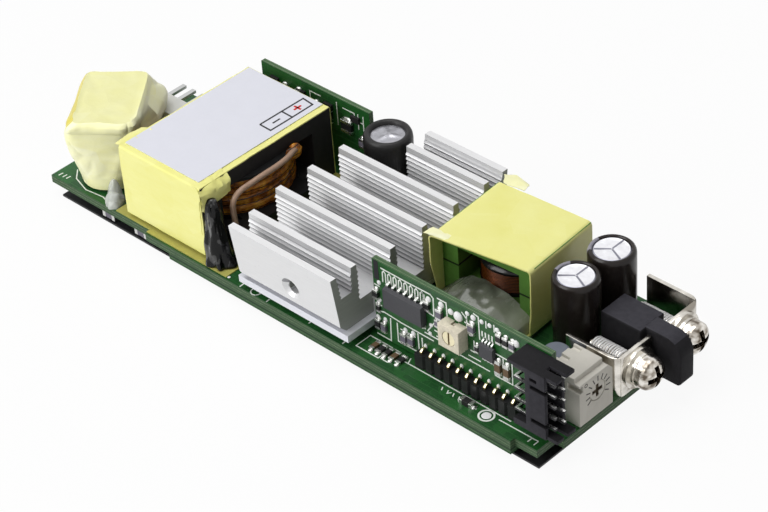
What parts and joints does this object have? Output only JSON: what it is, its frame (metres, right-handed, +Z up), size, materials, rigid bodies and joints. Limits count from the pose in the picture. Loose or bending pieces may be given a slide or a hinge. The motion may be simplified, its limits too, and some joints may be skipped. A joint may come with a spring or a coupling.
{
  "type": "open-frame power supply module",
  "caption": "Open-frame switching power supply module: long board with taped transformer and chokes, finned heatsink, upright control board, adjusters and screw terminals.",
  "frame": {"origin": "bottom centre of the board: middle of the main board's outline, on the underside of the insulating film", "axes": "+X along the board to the output terminals, +Y across the board away from the control board, +Z up"},
  "size_m": [0.1283, 0.0432, 0.0204],
  "materials": {
    "black_film": "satin",
    "pad_foam": "matte",
    "board_green": "solder mask",
    "chip_ceramic": "matte",
    "ferrite": "matte",
    "yellow_tape": "satin",
    "clear_sealant": "translucent",
    "white_nylon": "satin",
    "tinned_metal": "bright",
    "olive_sheet": "satin",
    "black_plastic": "satin",
    "amber_tape": "gloss",
    "white_label": "satin",
    "black_sealant": "gloss",
    "lead_sleeve": "satin",
    "aluminium": "extruded",
    "can_aluminium": "drawn",
    "black_sleeve": "gloss",
    "green_core": "painted",
    "copper_wire": "enamelled",
    "brown_sleeve": "gloss",
    "grey_sleeve": "satin",
    "gold_pin": "plated",
    "cream_plastic": "matte",
    "cream_rotor": "satin",
    "grey_plastic": "matte",
    "grey_rotor": "matte",
    "nickel_steel": "nickel plated"
  },
  "bodies": {
    "module": {"insulating_film": "black_film", "film_pads": "pad_foam", "lower_board": "board_green", "main_board": "board_green", "under_chips": "chip_ceramic", "board_chips": "chip_ceramic", "input_choke_core": "ferrite", "input_choke_tape": "yellow_tape", "choke_sealant": "clear_sealant", "inlet_body": "white_nylon", "inlet_pins": "tinned_metal", "insulating_sheet": "olive_sheet", "transformer_core_lower": "ferrite", "transformer_core_upper": "ferrite", "transformer_bobbin": "black_plastic", "transformer_winding": "amber_tape", "transformer_tape": "yellow_tape", "transformer_label": "white_label", "corner_sealant": "black_sealant", "fly_lead": "lead_sleeve", "power_devices": "black_plastic", "heatsink_plate": "aluminium", "heatsink": "aluminium", "bulk_can": "can_aluminium", "bulk_sleeve": "black_sleeve", "aux_board": "board_green", "aux_parts": "black_plastic", "out_choke_core_lower": "green_core", "out_choke_core_upper": "green_core", "out_choke_bobbin": "black_plastic", "out_choke_winding": "copper_wire", "out_choke_tape": "yellow_tape", "out_choke_sealant": "clear_sealant", "out_cap_cans": "can_aluminium", "out_cap_sleeves": "brown_sleeve", "small_cap": "grey_sleeve", "control_board": "board_green", "control_ics": "black_plastic", "control_ic_leads": "tinned_metal", "control_chips": "chip_ceramic", "header_body": "black_plastic", "header_pins": "gold_pin", "small_trimmer_body": "cream_plastic", "signal_connector": "black_plastic", "signal_pins": "tinned_metal", "trimmer_body": "grey_plastic", "terminal_near": "nickel_steel", "terminal_far": "nickel_steel", "flat_washers": "nickel_steel", "spring_washers": "nickel_steel", "terminal_screws": "nickel_steel", "terminal_barrier": "black_plastic"},
    "output_dial": {"trimmer_rotor": "grey_rotor"},
    "control_dial": {"small_trimmer_rotor": "cream_rotor"}
  },
  "joints": [
    {"name": "output_dial_turn", "type": "hinge", "parent": "module", "child": "output_dial", "pos_m": [0.06006, -0.00675, 0.009], "axis": [1, 0, 0], "range_deg": [-120, 120]},
    {"name": "control_dial_turn", "type": "hinge", "parent": "module", "child": "control_dial", "pos_m": [0.03759, -0.01722, 0.0144], "axis": [0, -1, 0], "range_deg": [-120, 120]}
  ]
}
